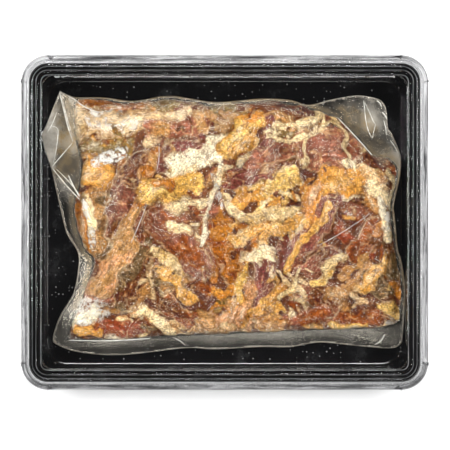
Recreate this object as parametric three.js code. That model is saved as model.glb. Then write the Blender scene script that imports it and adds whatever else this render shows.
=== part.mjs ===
// Pack of raw marinated pork skirt: a black tray, a clear lid snapped over its rim,
// and a sealed clear bag of meat strips lying in the tray.
// Millimetres, +Z up. The origin is under the middle of the tray, on the surface it stands on.

import * as THREE from "three";

// Driving dimensions
const RIM_LENGTH = 270; // tray rim, outside, along X
const RIM_WIDTH = 220; // tray rim, outside, along Y
const TRAY_SHEET = 0.9; // tray wall thickness
const TRAY_HEIGHT = 25.6; // top of the tray's snap bead
const LID_SHEET = 0.7; // lid wall thickness
const PACK_HEIGHT = 34; // top of the closed lid
const LID_FLANGE = 5.7; // how far the lid reaches past the tray rim
const BAG_FLOOR = 1.3; // underside of the bag, clear of the tray floor
const BAG_HEIGHT = 17.5; // bag over the middle of the meat, between its lumps
const BAG_FILM = 1; // solid thickness of the empty sealed film

// How finely curves are cut into flat faces
const CORNER_STEPS = 9;
const BAG_RAYS = 160;
const MEAT_RINGS = 22;
const UNDER_RINGS = 4;

// How the meat's lumps run into each other under the film
const LUMP_SPREAD = 1.35; // a lump fades out at this many times its half length and width
const LUMP_BLEND = 3; // higher keeps a sharper valley between lumps

// Tray profile, upper side, from the floor's edge out to the lip.
// Each row: distance outside the rim line, height, corner radius.
const TRAY_PROFILE = [
  [-11.9, TRAY_SHEET, 13.6],
  [-10.5, 1.5, 14.8],
  [-9.8, 3.6, 14.4],
  [-8.6, TRAY_HEIGHT - 3.2, 9.6],
  [-8.0, TRAY_HEIGHT - 1.8, 9.4],
  [-5.2, TRAY_HEIGHT - 1.6, 10.0],
  [-4.8, TRAY_HEIGHT, 10.3],
  [-2.6, TRAY_HEIGHT, 11.6],
  [-2.2, TRAY_HEIGHT - 1.2, 11.9],
  [0, TRAY_HEIGHT - 1.2, 13.1],
  [0.2, TRAY_HEIGHT - 3, 13.2],
];

// Lid profile, upper side, from the edge of its flat top out to the flange's lip
const LID_PROFILE = [
  [-11.4, PACK_HEIGHT, 8.0],
  [-9.6, PACK_HEIGHT - 0.5, 9.2],
  [-8.8, PACK_HEIGHT - 2, 9.4],
  [-7.6, TRAY_HEIGHT - 0.6, 9.6],
  [-6.25, TRAY_HEIGHT - 0.6, 9.8],
  [-5.85, TRAY_HEIGHT + 1.1, 10.0],
  [-1.95, TRAY_HEIGHT + 1.1, 12.0],
  [-1.45, TRAY_HEIGHT - 0.2, 12.3],
  [0.7, TRAY_HEIGHT - 0.2, 13.6],
  [1.25, TRAY_HEIGHT - 1.1, 14.0],
  [2.4, TRAY_HEIGHT - 5, 15.2],
  [LID_FLANGE - 0.8, TRAY_HEIGHT - 5.3, 17.8],
  [LID_FLANGE, TRAY_HEIGHT - 6.1, 18.6],
];

// Edge of the bag, going round from the upper right corner of the meat, clockwise.
// Each row: x, y, height of the film's edge, width of empty film inside it.
const BAG_EDGE = [
  [122, 33, 11, 3],
  [119, 12, 10, 2],
  [121, -16, 10, 3],
  [124.4, -42, 11, 4],
  [124.4, -69, 10, 6],
  [122, -86, 7, 14],
  [109, -88, 5, 12],
  [77, -85, 4, 9],
  [46, -87, 4, 10],
  [11, -90, 4, 11],
  [-21, -89, 4, 11],
  [-52, -91, 5, 9],
  [-84, -93, 6, 10],
  [-109, -89, 8, 10],
  [-120, -81, 9, 10],
  [-115, -65, 9, 7],
  [-106, -48, 9, 4],
  [-103, -25, 9, 6],
  [-110, -7, 10, 9],
  [-115, 12, 12, 14],
  [-120, 38, 16, 16],
  [-125.2, 56, 19, 22],
  [-124, 67, 20, 24],
  [-115, 88, 20, 28],
  [-106, 88, 16, 16],
  [-92, 87, 11, 8],
  [-74, 85, 9, 4],
  [-56, 86, 8, 3],
  [-37, 88, 8, 3],
  [-17, 85, 8, 3],
  [5, 85, 8, 3],
  [30, 87, 8, 3],
  [55, 83, 9, 5],
  [73, 85, 12, 14],
  [92, 88, 15, 28],
  [107, 85, 16, 34],
  [113, 68, 15, 32],
  [121, 49, 13, 16],
];

// Strips and folds of meat that push the film up.
// Each row: name, x, y, half length, half width, turn in degrees, height.
const MEAT_LUMPS = [
  ["pale slab", -78, 65, 31, 17, 28, 5],
  ["round fat", -93, 28, 14, 10, -20, 6],
  ["pale column", -94, 0, 17, 9, -71, 5],
  ["left lean strip", -68, 22, 24, 9, 67, 4],
  ["taut fold", -60, 8, 42, 5, 61, 6],
  ["upper lean strip", -32, 42, 20, 10, 55, 5],
  ["white fat strip", 0, 50, 42, 9, 51, 6],
  ["upright lean strip", 26, 40, 31, 8, 82, 5],
  ["looped fat", 47, 66, 14, 9, 0, 5],
  ["round muscle", 75, 49, 20, 16, 70, 6.5],
  ["ragged fat", 107, 22, 18, 9, -70, 5],
  ["striped muscle", 62, -4, 38, 12, 70, 6.5],
  ["middle fat", 18, 12, 26, 8, 15, 5],
  ["wavy strip", 24, -6, 24, 6, 25, 4.5],
  ["big lean strip", -27, -14, 26, 12, -56, 6.5],
  ["fanned strip", 26, -36, 24, 10, 85, 6],
  ["small fat", -38, -42, 15, 8, -60, 5],
  ["lower tan strip", -83, -40, 27, 10, 52, 6],
  ["bottom strip", -52, -68, 19, 8, -35, 5],
  ["salmon strip", 8, -64, 20, 9, 60, 4.5],
  ["bottom lean strip", 58, -66, 17, 8, 20, 4.5],
  ["curled fat", 91, -42, 21, 8, 35, 5.5],
  ["right lean strip", 104, -11, 18, 9, -70, 5.5],
];

// Points of a rectangle with round corners, counter-clockwise seen from above
function roundedRing(outward, height, radius) {
  const points = [];
  const cornerX = RIM_LENGTH / 2 + outward - radius;
  const cornerY = RIM_WIDTH / 2 + outward - radius;
  const corners = [[1, 1], [-1, 1], [-1, -1], [1, -1]];
  corners.forEach(([sideX, sideY], index) => {
    for (let step = 0; step <= CORNER_STEPS; step += 1) {
      const angle = (Math.PI / 2) * (index + step / CORNER_STEPS);
      points.push(new THREE.Vector3(
        sideX * cornerX + radius * Math.cos(angle),
        sideY * cornerY + radius * Math.sin(angle),
        height,
      ));
    }
  });
  return points;
}

// The profile moved square to itself by the sheet's thickness, towards its lower side
function lowerSide(profile, sheet) {
  const line = profile.map(([outward, height]) => new THREE.Vector2(outward, height));
  const sides = [];
  for (let i = 0; i + 1 < line.length; i += 1) {
    const along = line[i + 1].clone().sub(line[i]).normalize();
    sides.push(new THREE.Vector2(along.y, -along.x));
  }
  const level = new THREE.Vector2(0, -1);
  return profile.map(([outward, height, radius], i) => {
    const before = i === 0 ? level : sides[i - 1];
    const after = sides[Math.min(i, sides.length - 1)];
    const mitre = before.clone().add(after).normalize();
    mitre.multiplyScalar(sheet / mitre.dot(after));
    return [outward + mitre.x, height + mitre.y, radius + mitre.x];
  });
}

// Closed body through rings of equal length, with a fan over the first and the last ring.
// Each four-sided patch between two rings is split along its shorter diagonal.
function skin(rings, firstCentre, lastCentre) {
  const count = rings[0].length;
  const points = rings.flat();
  const positions = [];
  const indices = [];
  points.forEach((point) => positions.push(point.x, point.y, point.z));
  for (let ring = 0; ring + 1 < rings.length; ring += 1) {
    for (let i = 0; i < count; i += 1) {
      const next = (i + 1) % count;
      const a = ring * count + i;
      const b = ring * count + next;
      const c = (ring + 1) * count + next;
      const d = (ring + 1) * count + i;
      if (points[a].distanceTo(points[c]) < points[b].distanceTo(points[d])) {
        indices.push(a, d, c, a, c, b);
      } else {
        indices.push(a, d, b, d, c, b);
      }
    }
  }
  const first = positions.length / 3;
  positions.push(firstCentre.x, firstCentre.y, firstCentre.z);
  positions.push(lastCentre.x, lastCentre.y, lastCentre.z);
  const lastRing = (rings.length - 1) * count;
  for (let i = 0; i < count; i += 1) {
    const next = (i + 1) % count;
    indices.push(first, i, next);
    indices.push(first + 1, lastRing + next, lastRing + i);
  }
  const geometry = new THREE.BufferGeometry();
  geometry.setAttribute("position", new THREE.Float32BufferAttribute(positions, 3));
  geometry.setIndex(indices);
  geometry.computeVertexNormals();
  return geometry;
}

// A formed sheet: the upper side of the profile, its edge, and the lower side back to the middle
function formedSheet(profile, sheet) {
  const lower = lowerSide(profile, sheet);
  const rings = [...profile, ...lower.slice().reverse()].map((row) => roundedRing(...row));
  const top = new THREE.Vector3(0, 0, profile[0][1]);
  const bottom = new THREE.Vector3(0, 0, lower[0][1]);
  return skin(rings, top, bottom);
}

// How far the meat's lumps lift the film at a place, with each lump running into the next
function lumpHeight(x, y) {
  let lift = 0;
  MEAT_LUMPS.forEach(([, lumpX, lumpY, halfLength, halfWidth, turn, height]) => {
    const angle = THREE.MathUtils.degToRad(turn);
    const along = (x - lumpX) * Math.cos(angle) + (y - lumpY) * Math.sin(angle);
    const across = (y - lumpY) * Math.cos(angle) - (x - lumpX) * Math.sin(angle);
    const reach = Math.hypot(along / halfLength, across / halfWidth) / LUMP_SPREAD;
    if (reach < 1) {
      lift += (height * (0.5 + 0.5 * Math.cos(Math.PI * reach))) ** LUMP_BLEND;
    }
  });
  return lift ** (1 / LUMP_BLEND);
}

// Rays from the middle of the bag to its edge, counter-clockwise, with the film's width on each
function bagRays() {
  const stations = BAG_EDGE.slice().reverse();
  const edge = new THREE.CatmullRomCurve3(
    stations.map(([x, y, height]) => new THREE.Vector3(x, y, height)), true);
  const rays = [];
  for (let i = 0; i < BAG_RAYS; i += 1) {
    const share = edge.getUtoTmapping(i / BAG_RAYS);
    const place = share * stations.length;
    const station = Math.floor(place);
    const film = THREE.MathUtils.lerp(
      stations[station][3],
      stations[(station + 1) % stations.length][3],
      place - station,
    );
    const end = edge.getPoint(share);
    const meatShare = 1 - film / Math.hypot(end.x, end.y);
    const meatEdge = THREE.MathUtils.lerp(BAG_HEIGHT / 3, end.z, 0.5);
    rays.push({ end, meatShare, meatEdge });
  }
  return rays;
}

// Upper surface of the bag over the meat, at a share of the way to the meat's edge
function meatTop(ray, share) {
  const x = ray.end.x * ray.meatShare * share;
  const y = ray.end.y * ray.meatShare * share;
  const pillow = Math.sqrt(1 - share ** 4);
  const fade = Math.min(1, 6 * (1 - share));
  const height = ray.meatEdge + (BAG_HEIGHT - ray.meatEdge) * pillow + fade * lumpHeight(x, y);
  return new THREE.Vector3(x, y, height);
}

// Under surface of the bag: flat on the tray, rounding up to the meat's edge
function meatUnder(ray, share) {
  const height = BAG_FLOOR + (ray.meatEdge - BAG_FILM - BAG_FLOOR) * share ** 6;
  return new THREE.Vector3(
    ray.end.x * ray.meatShare * share,
    ray.end.y * ray.meatShare * share,
    height,
  );
}

// Empty film between the meat and the edge of the bag
function filmPoint(ray, share, drop) {
  const reach = THREE.MathUtils.lerp(ray.meatShare, 1, share);
  const height = THREE.MathUtils.lerp(ray.meatEdge, ray.end.z, share) - drop;
  return new THREE.Vector3(ray.end.x * reach, ray.end.y * reach, height);
}

function bagGeometry() {
  const rays = bagRays();
  const rings = [];
  for (let i = 1; i <= MEAT_RINGS; i += 1) {
    const share = 1 - (1 - i / MEAT_RINGS) ** 1.4;
    rings.push(rays.map((ray) => meatTop(ray, share)));
  }
  rings.push(rays.map((ray) => filmPoint(ray, 0.5, 0)));
  rings.push(rays.map((ray) => filmPoint(ray, 1, 0)));
  rings.push(rays.map((ray) => filmPoint(ray, 1, BAG_FILM)));
  for (let i = UNDER_RINGS; i >= 1; i -= 1) {
    const share = 1 - (1 - i / UNDER_RINGS) ** 2;
    rings.push(rays.map((ray) => meatUnder(ray, share)));
  }
  const top = new THREE.Vector3(0, 0, BAG_HEIGHT + lumpHeight(0, 0));
  const bottom = new THREE.Vector3(0, 0, BAG_FLOOR);
  return skin(rings, top, bottom);
}

function piece(name, geometry, look) {
  const mesh = new THREE.Mesh(geometry, new THREE.MeshStandardMaterial(look));
  mesh.name = name;
  return mesh;
}

const blackPlastic = { color: 0x121212, roughness: 0.28, metalness: 0 };
const clearPlastic = {
  color: 0xe8ecee, roughness: 0.08, metalness: 0, transparent: true, opacity: 0.25,
};
const meatUnderFilm = { color: 0xb07f5c, roughness: 0.35, metalness: 0 };

const pack = new THREE.Group();
pack.add(piece("tray", formedSheet(TRAY_PROFILE, TRAY_SHEET), blackPlastic));
pack.add(piece("bag", bagGeometry(), meatUnderFilm));
pack.add(piece("lid", formedSheet(LID_PROFILE, LID_SHEET), clearPlastic));

export default pack;
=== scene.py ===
# Tray pack of raw marinated pork skirt: its looks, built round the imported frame.
# Blender works in metres with Z up. The tables and sizes here are in millimetres, and MM turns
# them into metres.

import itertools
import math

import bmesh
import bpy
import numpy as np
from bpy.props import FloatProperty, FloatVectorProperty, IntProperty, PointerProperty
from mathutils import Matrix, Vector, geometry
from mathutils.bvhtree import BVHTree


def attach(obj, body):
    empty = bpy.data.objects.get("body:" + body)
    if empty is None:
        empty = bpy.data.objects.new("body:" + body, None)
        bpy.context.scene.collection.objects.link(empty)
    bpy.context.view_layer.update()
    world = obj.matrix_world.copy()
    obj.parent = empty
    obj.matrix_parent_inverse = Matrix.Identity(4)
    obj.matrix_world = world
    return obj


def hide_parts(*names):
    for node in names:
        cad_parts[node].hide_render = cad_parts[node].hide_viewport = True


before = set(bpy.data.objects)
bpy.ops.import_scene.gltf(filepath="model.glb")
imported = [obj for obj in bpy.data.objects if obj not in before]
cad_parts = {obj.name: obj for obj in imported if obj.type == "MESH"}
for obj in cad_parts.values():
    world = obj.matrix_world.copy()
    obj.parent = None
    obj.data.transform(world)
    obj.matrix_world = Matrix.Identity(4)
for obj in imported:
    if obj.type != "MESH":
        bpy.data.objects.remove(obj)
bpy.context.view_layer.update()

bl_info = {
    "name": "Marinated Pork Skirt Pack",
    "version": (1, 0, 0),
    "blender": (4, 5, 0),
    "location": "3D View > Sidebar > Meat Pack",
    "description": "Builds a black tray, its clear lid and a sealed bag of marinated pork skirt",
    "category": "Add Mesh",
}

MM = 0.001
BODY = "root"

# Sizes of the tray's rim line, which the lid shares, and how finely both sheets are cut
RIM_LENGTH = 270.0
RIM_WIDTH = 220.0
RIM_RADIUS = 13.1
CORNER_STEPS = 12
STRAIGHT_CUTS = 30

# Rows of a formed sheet's upper side, from its flat middle outwards:
# distance outside the tray's rim line, height, corner radius
TRAY_PROFILE = [
    [-11.9, 0.9, 13.6],
    [-10.5, 1.5, 14.8],
    [-9.8, 3.6, 14.4],
    [-8.6, 22.4, 9.6],
    [-8.0, 23.8, 9.4],
    [-5.2, 24.0, 10.0],
    [-4.8, 25.6, 10.3],
    [-2.6, 25.6, 11.6],
    [-2.2, 24.4, 11.9],
    [0.0, 24.4, 13.1],
    [0.2, 22.6, 13.2],
]
LID_PROFILE = [
    [-11.4, 34.0, 8.0],
    [-9.6, 33.5, 9.2],
    [-8.8, 32.0, 9.4],
    [-7.6, 25.0, 9.6],
    [-6.25, 25.0, 9.8],
    [-5.85, 26.7, 10.0],
    [-1.95, 26.7, 12.0],
    [-1.45, 25.4, 12.3],
    [0.7, 25.4, 13.6],
    [1.25, 24.5, 14.0],
    [2.4, 20.6, 15.2],
    [4.9, 20.3, 17.8],
    [5.7, 19.5, 18.6],
]

# Where the tray's formed edges catch the light: distances inside its rim line
RIM_EDGES = [2.4, 5.0, 8.2]

# Formed sheets: the angle from which an edge is rounded, the angle up to which it is shaded smooth,
# and how wide and deep their unevenness is
ROUNDED_ANGLE = 12
SMOOTH_ANGLE = 50
UNEVEN_SIZE = 18.0
UNEVEN_DEPTH = 0.16

# Edge of the bag's film, clockwise from the upper left ear: x, y, height, 1 for a sharp corner
FILM_EDGE = [
    [-113.9, 91, 20, 1],
    [-108.5, 88.3, 18, 0],
    [-102, 87, 13, 0],
    [-84.9, 87.2, 9, 0],
    [-66.1, 84.9, 8, 0],
    [-55.6, 85.9, 8, 0],
    [-45.1, 88, 8, 0],
    [-34.7, 88.3, 8, 0],
    [-24.2, 86.6, 8, 0],
    [-8.1, 84.2, 8, 0],
    [7.2, 84.9, 8, 0],
    [26.1, 86.6, 8, 0],
    [45.6, 85.6, 8, 0],
    [58.1, 82, 9, 0],
    [73.3, 85.3, 12, 0],
    [83.6, 87.2, 14, 0],
    [91.9, 88.2, 15, 0],
    [100.8, 87.1, 16, 0],
    [107.8, 85, 16, 0],
    [111.3, 80.8, 16, 0],
    [112.6, 74.6, 16, 0],
    [113.4, 65.6, 15, 0],
    [116.3, 61.5, 14, 0],
    [121.9, 48.4, 13, 0],
    [122.7, 42.1, 12, 0],
    [122.1, 31.7, 11, 0],
    [118, 12.2, 10, 0],
    [118.7, 3.9, 10, 0],
    [120.8, -19.1, 10, 0],
    [122.9, -25.4, 10, 0],
    [125.7, -44.2, 10, 0],
    [125.1, -68, 9, 0],
    [123.9, -83.5, 7, 1],
    [119.1, -87.4, 6, 0],
    [108.7, -87.8, 5, 0],
    [90.6, -86.2, 4, 0],
    [66.1, -84, 4, 0],
    [45.8, -87.2, 4, 0],
    [24.1, -87.2, 4, 0],
    [-6.8, -88.8, 4, 0],
    [-27.1, -87.9, 4, 0],
    [-62.7, -92, 5, 0],
    [-83.7, -92.6, 6, 0],
    [-104.5, -90, 8, 0],
    [-117, -85.1, 9, 0],
    [-119.8, -80.6, 9, 0],
    [-114.9, -65.2, 9, 0],
    [-105.8, -49.9, 9, 0],
    [-102.3, -33.1, 9, 0],
    [-102.3, -21.3, 9, 0],
    [-109.2, -9.4, 10, 0],
    [-111.3, -3.8, 10, 0],
    [-115.3, 13.6, 12, 0],
    [-120.5, 37.8, 16, 0],
    [-124.5, 50.2, 18, 0],
    [-126.7, 61.2, 20, 1],
    [-123.6, 66.8, 20, 0],
    [-118.7, 79.2, 20, 0],
]

# Edge of the meat and its juice inside the bag, clockwise: x, y
MEAT_EDGE = [
    [-102.3, 86.2],
    [-84.9, 86.5],
    [-66, 83.7],
    [-45.1, 86.9],
    [-24.2, 85.8],
    [-8.1, 82.7],
    [7.2, 83.4],
    [26.1, 85.1],
    [45.6, 84.1],
    [63, 79.2],
    [79.1, 72.9],
    [91.6, 61.8],
    [103.5, 47.8],
    [114, 45],
    [120.9, 35.3],
    [116.7, 12.2],
    [118.1, -5.2],
    [120.9, -22.6],
    [124.4, -43.6],
    [123.7, -61],
    [119.5, -71.5],
    [94.4, -74.3],
    [52.6, -75.7],
    [-6.7, -78.5],
    [-37.4, -79.9],
    [-80, -82.6],
    [-107.9, -81.9],
    [-109.3, -75],
    [-98.1, -48.5],
    [-92.5, -27.5],
    [-98.1, -19.2],
    [-103.7, -3.8],
    [-105.8, 12.2],
    [-101.6, 26.2],
    [-100.9, 43.6],
    [-103.7, 57.6],
    [-105.8, 72.9],
]

# Folds pinched up in the film: lift over the film, radius, places along the fold
FOLDS = [
    [2.5, 0.3, [(-114.1, 89.7), (-111.3, 77.9), (-108.5, 66.2), (-105.3, 55.8)]],
    [1.5, 0.2, [(-112, 84.2), (-109.2, 72.4), (-105.8, 60.6)]],
    [1, 0.25, [(-105.8, 55.1), (-112.7, 46.8), (-120, 38.5)]],
    [1.5, 0.3, [(-119.6, 37.8), (-111.3, 27.4), (-100.9, 15.9)]],
    [1.2, 0.2, [(-116.8, 37.1), (-108.5, 28.8), (-100.2, 18.4)]],
    [0.8, 0.25, [(-108.5, 87.6), (-104.4, 85.6), (-98.8, 81.4), (-91.2, 77.9), (-85, 76.6)]],
    [0.8, 0.2, [(-116.1, 76.6), (-119.3, 68.2), (-123.1, 62)]],
    [0.8, 0.2, [(-120.3, 66.9), (-115.5, 64.1), (-116.8, 50.2), (-118.9, 41.2)]],
    [0.8, 0.22, [(96.5, 84.9), (97.9, 71.7), (100, 63.4), (102.8, 58.6)]],
    [0.8, 0.22, [(97.2, 83.5), (100.7, 75.9), (102.8, 71), (104.8, 68.2)]],
    [0.6, 0.2, [(104.8, 68.2), (103.5, 62.7), (102.8, 58.6)]],
    [1.2, 0.3, [(78.5, 73.1), (91, 59.9), (102.8, 46.8)]],
    [0.5, 0.2, [(110.4, 71), (111.8, 65.5), (112.5, 60.6)]],
    [0.5, 0.2, [(115.2, 57.2), (118, 53), (120.8, 48.2)]],
    [0.5, 0.13, [(101.4, 6.6), (87.5, -3.1), (73.7, -11.4), (64, -16.3)]],
    [0.4, 0.2, [(-35.1, -80.7), (-30.9, -82.8), (-27.5, -86.2)]],
    [0.4, 0.25, [(111.8, -77.9), (109, -82.8), (104.8, -85.5)]],
    [1.0, 0.15, [(-45.5, 53), (-45.5, 44.7), (-46.9, 36.4)]],
    [1.0, 0.15, [(-53.8, 12.8), (-58.6, 0.4), (-64.9, -14.2)]],
    [0.3, 0.3, [(-108.5, -82.1), (-79.4, -82.4), (-51.7, -80.7)]],
    [0.6, 0.35, [(-108.5, 32.9), (-105.1, 25.3), (-100.9, 17.7)]],
    [0.6, 0.3, [(105.5, 84.9), (107.6, 82.8), (109, 80)]],
    [0.6, 0.3, [(109, 76.6), (111.1, 74.5), (112.5, 71.7)]],
]

# Patches on the film: what shows there, how much, x, y, half length, half width, turn in degrees.
# Foam is trapped air and juice, white is film lying dry on fat and in places a painted glint or sheen, haze
# is dull film, to which a painted sheen is added later, and residue is marinade.
FILM_PATCHES = [
    ["foam", 1, -78.3, 46.2, 17, 5, 21],
    ["foam", 0.9, -96.4, 9.4, 9, 3, -72],
    ["foam", 0.8, -92.2, -10.8, 10, 3, -80],
    ["foam", 0.6, -92.2, -59.4, 13, 9, -30],
    ["foam", 1, -97.7, -69.1, 6, 3, 0],
    ["foam", 0.3, -109.6, -78.2, 6, 3, -30],
    ["white", 0.8, -90.1, 75.4, 10, 2, -20],
    ["white", 0.8, -95, 71.2, 6, 3, -70],
    ["white", 0.45, -78, 72, 22, 9, 0],
    ["white", 0.7, -64.4, 69.2, 6, 6, 0],
    ["white", 0.6, -5.3, 22.6, 18, 2, -73],
    ["white", 0.5, 85.7, 6.6, 3, 3, 0],
    ["white", 0.6, 113.5, 0.4, 12, 3, -85],
    ["white", 0.5, 12.7, 42.8, 4, 3, 30],
    ["white", 0.5, 114.9, -68.4, 4, 3, 0],
    ["white", 0.6, -118, 72, 10, 3.5, 62],
    ["white", 0.45, -103, 80, 9, 2.5, -60],
    ["haze", 0.9, -114, 74, 18, 8, 66],
    ["haze", 0.7, -120, 52, 12, 5, 80],
    ["haze", 0.5, -114, 28, 16, 7, -55],
    ["haze", 0.55, 94.1, 74.7, 20, 12, -20],
    ["haze", 0.6, 108, 62, 16, 8, -60],
    ["haze", 0.3, 101, -80.2, 21, 6, 0],
    ["haze", 0.3, -90.1, -87.2, 24, 4, 0],
    ["haze", 0.4, -110, -66, 16, 6, 60],
    ["residue", 0.9, -108.9, 57.3, 16, 8, 80],
    ["residue", 0.8, -110.3, 40, 12, 8, 70],
    ["residue", 0.7, -110.3, 76, 14, 8, 60],
    ["residue", 0.8, 92, 69.9, 18, 9, -40],
    ["residue", 0.6, 107, 50.4, 14, 7, -50],
]

# Colours as seen, in parts of 255
TONES = {
    "brown": (104, 62, 40),
    "grey": (108, 86, 60),
    "olive": (128, 104, 60),
    "tan": (184, 136, 84),
    "rose": (158, 96, 74),
    "mauve": (134, 82, 66),
    "purple": (122, 68, 62),
    "rust": (142, 76, 38),
    "crimson": (138, 64, 42),
    "caramel": (170, 104, 44),
    "orange": (204, 132, 56),
    "golden": (220, 162, 82),
    "yellow": (232, 188, 106),
    "salmon": (208, 150, 104),
    "pale": (222, 192, 148),
    "cream": (238, 212, 162),
    "white": (248, 232, 200),
    # Painted shade in the creases between pieces
    "crease_shade": (104, 56, 26),
    "pit": (120, 66, 28),
    # Painted highlight on the crown of the fat
    "fat highlight": (252, 238, 206),
    "fleck": (224, 172, 118),
    "vein": (240, 206, 150),
    "fascia": (244, 214, 168),
    "thread": (244, 212, 170),
    "crack": (112, 64, 30),
    "crumb": (100, 56, 28),
    "pepper": (58, 34, 22),
    # Pale specks, partly painted glints
    "speck_and_glint": (250, 240, 214),
    "dust": (190, 190, 190),
    "faint_grey": (200, 200, 200),
    # Painted highlight along the tray's formed edges
    "highlit edge": (200, 200, 202),
    "clear sheet": (245, 245, 245),
    "dark streak": (40, 40, 42),
    "light streak": (220, 220, 222),
    # Painted shade on the lid's long sides
    "long side shade": (30, 30, 32),
    "lip": (50, 50, 52),
    "dull film": (232, 224, 208),
    "residue": (168, 138, 84),
    "foam": (252, 248, 236),
    # Folds, whiter partly as a painted highlight
    "fold highlight": (253, 250, 240),
}

# Strips of lean, roughly in the order that they lie:
# tone, second tone, half width, layer from 0 at the bottom, places along the strip
LEAN_STRIPS = [
    ["brown", "mauve", 10.5, 2, [(-57, 42), (-66, 29), (-73, 12), (-75, -6)]],
    ["tan", "grey", 8.3, 0, [(-86, 16), (-88, -2), (-86, -19)]],
    ["olive", "brown", 6.9, 0, [(-52, 81), (-27, 81), (-2, 79)]],
    ["tan", "rose", 8.3, 1, [(-50, 67), (-34, 66), (-17, 70)]],
    ["mauve", "purple", 8.3, 1, [(-45, 43), (-32, 49), (-17, 52)]],
    ["tan", "mauve", 6.2, 1, [(-25, 21), (-14, 25), (-5, 34)]],
    ["rose", "brown", 6.2, 1, [(-28, -1), (-17, 3), (-8, 9)]],
    ["rust", "mauve", 11.8, 2, [(-45, 0), (-32, -12), (-18, -29)]],
    ["rust", "caramel", 9, 1, [(-7, -5), (1, -19), (9, -40)]],
    ["brown", "olive", 5.5, 0, [(-3, 79), (8, 81), (20, 81)]],
    ["brown", "rust", 5.5, 0, [(20, 80), (38, 81), (58, 77)]],
    ["brown", "tan", 4.2, 0, [(22, 72), (42, 73), (62, 70)]],
    ["mauve", "purple", 6.2, 1, [(30, 68), (31, 56), (25, 42)]],
    ["mauve", "rose", 7.6, 1, [(16, 43), (31, 46), (47, 50)]],
    ["purple", "mauve", 8.3, 0, [(-5, 29), (11, 32), (29, 35)]],
    ["brown", "grey", 5.5, 0, [(51, 53), (52, 40), (50, 28)]],
    ["rose", "mauve", 13.9, 2, [(61, 50), (70, 52), (81, 51)]],
    ["mauve", "brown", 6.2, 1, [(83, 64), (90, 53), (94, 43)]],
    ["brown", "rust", 5.5, 2, [(105, 45), (111, 39), (116, 34)]],
    ["purple", "mauve", 9, 2, [(77, 20), (67, 3), (54, -15)]],
    ["brown", "mauve", 5.5, 0, [(87, 11), (95, 7), (106, 7)]],
    ["rust", "brown", 9, 2, [(90, -20), (99, -11), (110, -2)]],
    ["brown", "grey", 6.2, 0, [(114, -11), (119, -27), (119, -44)]],
    ["purple", "brown", 5.5, 1, [(41, -12), (45, -23), (41, -33)]],
    ["purple", "mauve", 9.7, 1, [(26, -25), (27, -38), (26, -52)]],
    ["mauve", "brown", 9, 1, [(52, -41), (62, -32), (73, -23)]],
    ["brown", "crimson", 6.2, 1, [(80, -29), (86, -23), (92, -18)]],
    ["brown", "grey", 6.9, 0, [(101, -41), (110, -48), (122, -54)]],
    ["brown", "mauve", 8.3, 2, [(56, -47), (65, -52), (73, -60)]],
    ["crimson", "rust", 6.2, 2, [(49, -70), (58, -66), (69, -62)]],
    ["rust", "brown", 6.2, 1, [(72, -66), (88, -68), (108, -66)]],
    ["grey", "brown", 9, 2, [(-57, -22), (-64, -34), (-71, -51)]],
    ["rust", "brown", 7.6, 1, [(-48, -55), (-35, -62), (-23, -68)]],
    ["crimson", "rust", 6.2, 1, [(-92, -72), (-77, -73), (-60, -75)]],
    ["brown", "rose", 8.3, 0, [(-99, -56), (-89, -51), (-78, -48)]],
    ["brown", "rust", 6.2, 0, [(-2, -25), (5, -34), (12, -44)]],
    ["olive", "tan", 6.2, 0, [(-24, -66), (-13, -68), (0, -72)]],
    ["tan", "grey", 6.2, 0, [(-60, -55), (-52, -47), (-43, -36)]],
    ["brown", "tan", 5.5, 0, [(-103, -75), (-95, -72), (-86, -70)]],
    ["tan", "caramel", 5.0, 2, [(-47, 50), (-54, 32), (-62, 10), (-68, -6)]],
    ["salmon", "tan", 9.6, 2, [(-67, -14), (-77, -28), (-87, -44)]],
]

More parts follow.
